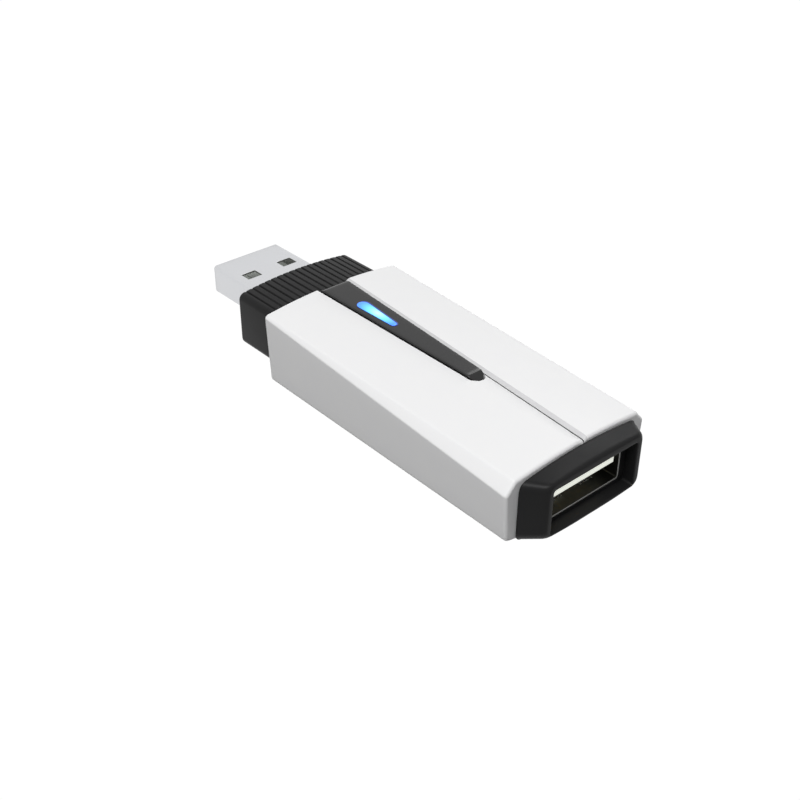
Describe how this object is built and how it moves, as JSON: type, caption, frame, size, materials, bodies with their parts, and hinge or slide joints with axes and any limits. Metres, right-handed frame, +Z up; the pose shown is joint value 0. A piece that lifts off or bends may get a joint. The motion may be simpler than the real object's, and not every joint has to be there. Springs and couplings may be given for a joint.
{
  "type": "usb wireless adapter",
  "caption": "In-line wireless adapter: a flat plug in a ribbed collar, two side shells with an inlaid lit tongue, and a socket in a bezel at the far end.",
  "frame": {"origin": "centre of the bounding box's bottom, on the flat strip of the underside that the adapter rests on", "axes": "+X along the length, from the plug to the socket; +Z up, out of the lit face; +Y across, to the right when looking along -X, from the socket end towards the plug"},
  "size_m": [0.072, 0.0246, 0.0129],
  "materials": {
    "white_shell": "satin moulded ABS",
    "black_moulding": "matt moulded ABS",
    "light_window": "clear acrylic light guide, lit blue",
    "circuit_board": "green solder mask on glass-epoxy",
    "nickel_steel": "nickel-plated sheet",
    "white_insulator": "moulded polyester",
    "gilt_contact": "gold-flashed spring bronze",
    "led": "moulded lamp, lit blue",
    "chip_black": "epoxy moulding",
    "ferrite": "sintered ferrite",
    "can_steel": "tin-plated sheet",
    "antenna_ceramic": "fired ceramic",
    "capacitor_brown": "fired ceramic, tinned ends",
    "resistor_black": "glazed ceramic, tinned ends"
  },
  "bodies": {
    "adapter": {"left_side_shell": "white_shell", "right_side_shell": "white_shell", "front_collar": "black_moulding", "end_bezel": "black_moulding", "light_window": "light_window", "board_tray": "black_moulding", "circuit_board": "circuit_board", "plug_shell": "nickel_steel", "plug_insulator": "white_insulator", "socket_shell": "nickel_steel", "socket_insulator": "white_insulator", "status_led": "led", "usb_hub_chip": "chip_black", "radio_chip": "chip_black", "voltage_regulator": "chip_black", "power_inductor": "ferrite", "crystal": "can_steel", "radio_shield_can": "can_steel", "chip_antenna": "antenna_ceramic", "plug_contact_1": "gilt_contact", "socket_pin_1": "gilt_contact", "capacitor_1": "capacitor_brown", "plug_contact_2": "gilt_contact", "socket_pin_2": "gilt_contact", "capacitor_2": "capacitor_brown", "plug_contact_3": "gilt_contact", "socket_pin_3": "gilt_contact", "capacitor_3": "capacitor_brown", "plug_contact_4": "gilt_contact", "socket_pin_4": "gilt_contact", "capacitor_4": "capacitor_brown", "resistor_1": "resistor_black", "resistor_2": "resistor_black"},
    "socket_spring_1": {"socket_contact_1": "gilt_contact"},
    "socket_spring_2": {"socket_contact_2": "gilt_contact"},
    "socket_spring_3": {"socket_contact_3": "gilt_contact"},
    "socket_spring_4": {"socket_contact_4": "gilt_contact"}
  },
  "joints": [
    {"name": "socket_contact_1_press", "type": "hinge", "parent": "adapter", "child": "socket_spring_1", "pos_m": [0.02495, -0.0035, 0.0062], "axis": [0, -1, 0], "range_deg": [0, 3.2], "stiffness_Nm_per_rad": 0.1},
    {"name": "socket_contact_2_press", "type": "hinge", "parent": "adapter", "child": "socket_spring_2", "pos_m": [0.02495, -0.001, 0.0062], "axis": [0, -1, 0], "range_deg": [0, 3.2], "stiffness_Nm_per_rad": 0.1},
    {"name": "socket_contact_3_press", "type": "hinge", "parent": "adapter", "child": "socket_spring_3", "pos_m": [0.02495, 0.001, 0.0062], "axis": [0, -1, 0], "range_deg": [0, 3.2], "stiffness_Nm_per_rad": 0.1},
    {"name": "socket_contact_4_press", "type": "hinge", "parent": "adapter", "child": "socket_spring_4", "pos_m": [0.02495, 0.0035, 0.0062], "axis": [0, -1, 0], "range_deg": [0, 3.2], "stiffness_Nm_per_rad": 0.1}
  ]
}
